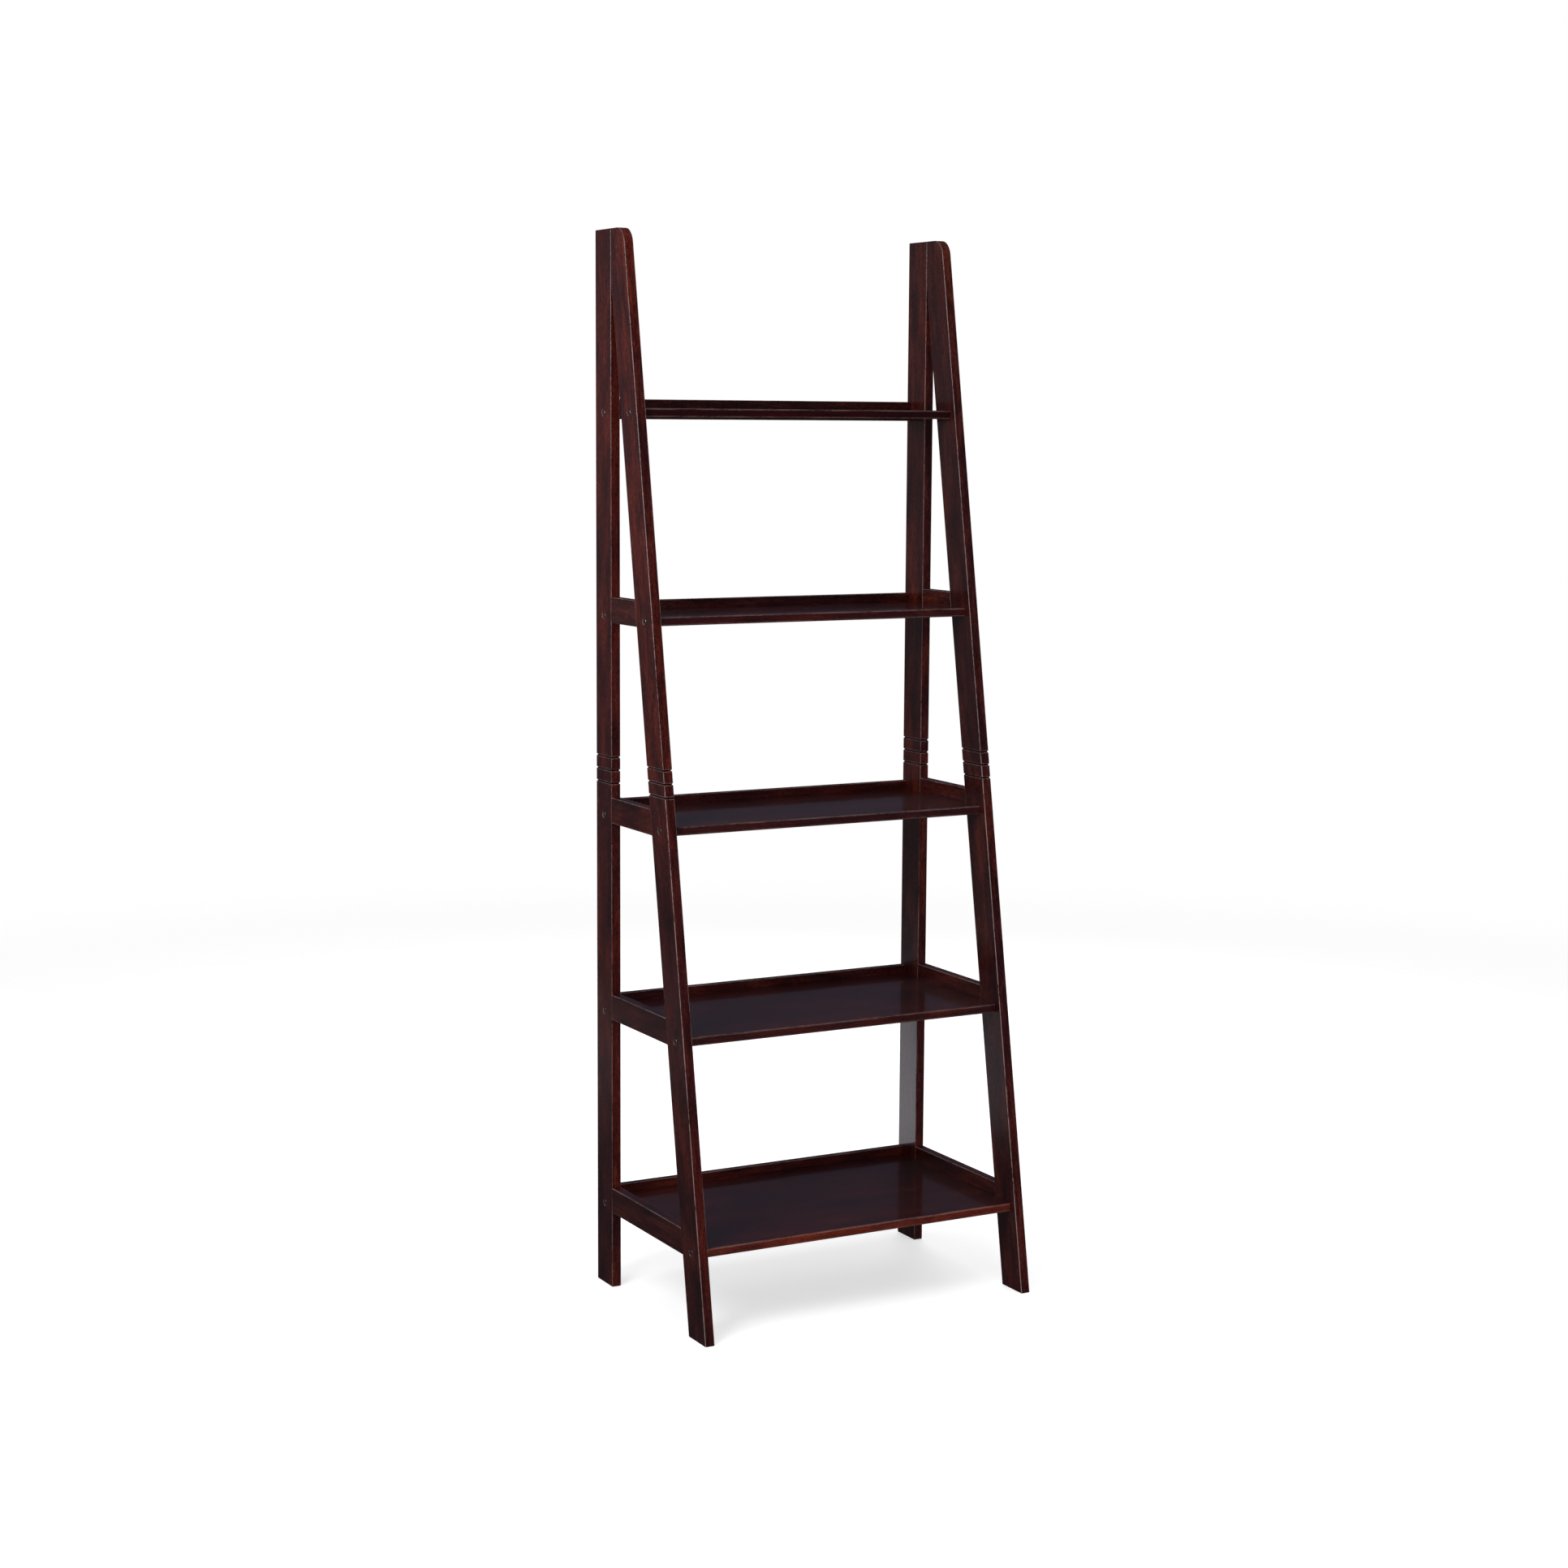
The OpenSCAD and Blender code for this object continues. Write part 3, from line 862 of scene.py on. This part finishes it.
level_beech = beech("beech_level_dowels", "Y")
upright_beech = beech("beech_upright_dowels", "Z")
for name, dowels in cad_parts.items():
    if "dowels" in name:
        for finish in dowels.material_slots:
            finish.material = upright_beech if "leg_joint" in name else level_beech

# ---------------------------------------------------------------------------------------------
# Studio: a pale floor that fades into a pale backdrop, a tall soft box on the left, soft lights
# overhead, in front and behind on the right, and a card low down behind that only the lacquer sees.

floor_radius = 6.0
floor_mesh = bpy.data.meshes.new("studio_floor")
floor_shape = bmesh.new()
bmesh.ops.create_circle(floor_shape, cap_ends=True, segments=96, radius=floor_radius)
floor_shape.to_mesh(floor_mesh)
floor_shape.free()
floor = bpy.data.objects.new("studio_floor", floor_mesh)
bpy.context.scene.collection.objects.link(floor)
floor.visible_glossy = False
floor.visible_diffuse = False

floor_paint = bpy.data.materials.new("pale_floor")
floor_paint.use_nodes = True
floor_paint.node_tree.nodes.clear()
start = Signal(floor_paint.node_tree)
place = start.node("ShaderNodeTexCoord", None, None, "Object")
distance = start.node("ShaderNodeVectorMath", {"operation": "LENGTH"}, {0: place}, "Value")
paint = start.node("ShaderNodeBsdfDiffuse", None, {"Color": (0.84, 0.84, 0.85, 1)})
glow = start.node("ShaderNodeEmission", None, {"Color": (1, 1, 1, 1), "Strength": 0.54})
paint = start.node("ShaderNodeAddShader", None, {0: paint, 1: glow})
clear = start.node("ShaderNodeBsdfTransparent")
faded = start.node("ShaderNodeMixShader", None, {0: distance.rise(1.2, 4.5), 1: paint, 2: clear})
start.node("ShaderNodeOutputMaterial", None, {"Surface": faded})
floor_mesh.materials.append(floor_paint)


def softbox(name, place, target, width, tall, power, colour=(1, 1, 1)):
    """A rectangular soft light that stands at a place and faces a target, unseen by the camera."""
    light = bpy.data.lights.new(name, "AREA")
    light.shape = "RECTANGLE"
    light.size = width
    light.size_y = tall
    light.energy = power
    light.color = colour
    lamp = bpy.data.objects.new(name, light)
    lamp.location = place
    lamp.rotation_euler = (Vector(target) - Vector(place)).to_track_quat("-Z", "Y").to_euler()
    lamp.visible_camera = False
    bpy.context.scene.collection.objects.link(lamp)
    return lamp


camera_bearing = math.radians(29.15)
middle = Vector((0, 0, height / 2))
softbox("key_left", (-1.75, -0.95, 2.05), middle + Vector((0, 0, 0.2)), 0.9, 1.3, 29, (1.0, 0.985, 0.97))
overhead = softbox("overhead", (0.0, 0.3, 3.6), middle, 2.2, 2.2, 20)
overhead.visible_glossy = False
fill = softbox("fill_front", (-0.4, -3.0, 0.8), middle - Vector((0, 0, 0.3)), 1.2, 1.2, 34)
fill.visible_glossy = False
back = softbox("back_right", (1.7, 2.6, 1.7), middle, 1.4, 1.4, 26)
back.visible_glossy = False
card = softbox("floor_card", (-0.27, 1.35, 0.02), (-0.27, 1.35, 1.0), 0.34, 1.5, 2.6, (0.95, 0.92, 1.0))
card.rotation_euler = (math.pi, 0, camera_bearing)
card.visible_diffuse = False

world = bpy.data.worlds.new("pale_studio")
bpy.context.scene.world = world
world.use_nodes = True
world.node_tree.nodes.clear()
start = Signal(world.node_tree)
path = start.node("ShaderNodeLightPath")
way = start.node("ShaderNodeTexCoord", None, None, "Generated")
way = start.node("ShaderNodeSeparateXYZ", None, {"Vector": way})
to_left = 1 - way.out("X").rise(-0.55, -0.05)
level = way.out("Z").rise(-0.20, -0.01)
darkness = 0.047 + 0.008 * way.out("Z").rise(0.0, 0.4) + to_left * (level * 0.085 - 0.002)
tint = to_left.between((0.90, 0.85, 1.20, 1), (1.0, 0.93, 1.02, 1))
surroundings = start.node("ShaderNodeVectorMath", {"operation": "SCALE"}, {0: tint, "Scale": darkness})
ambient = way.out("Z").rise(-0.6, 0.6).between((0.14, 0.14, 0.14, 1), (0.42, 0.42, 0.43, 1))
ambient = path.out("Is Diffuse Ray").between(surroundings, ambient)
backdrop = path.out("Is Camera Ray").between(ambient, (1.0, 1.0, 1.0, 1))
sky = start.node("ShaderNodeBackground", None, {"Color": backdrop, "Strength": 1.0})
start.node("ShaderNodeOutputWorld", None, {"Surface": sky})
bpy.context.scene.view_settings.view_transform = "Standard"

# The camera stands to the left of the shelf, a little below its top, and looks slightly down.
camera_data = bpy.data.cameras.new("camera")
camera_data.lens = 63.79
camera_data.sensor_width = 36
camera = bpy.data.objects.new("camera", camera_data)
camera_distance = 2.595 * height
eye_height = 0.8263 * height
camera_x = -math.sin(camera_bearing) * camera_distance
camera_y = -math.cos(camera_bearing) * camera_distance
camera.location = (camera_x, camera_y, eye_height)
turn = Matrix.Rotation(math.radians(-28.481), 4, "Z")
tip = Matrix.Rotation(math.radians(82.554), 4, "X")
roll = Matrix.Rotation(math.radians(0.364), 4, "Z")
camera.rotation_euler = (turn @ tip @ roll).to_euler()
bpy.context.scene.collection.objects.link(camera)
bpy.context.scene.camera = camera
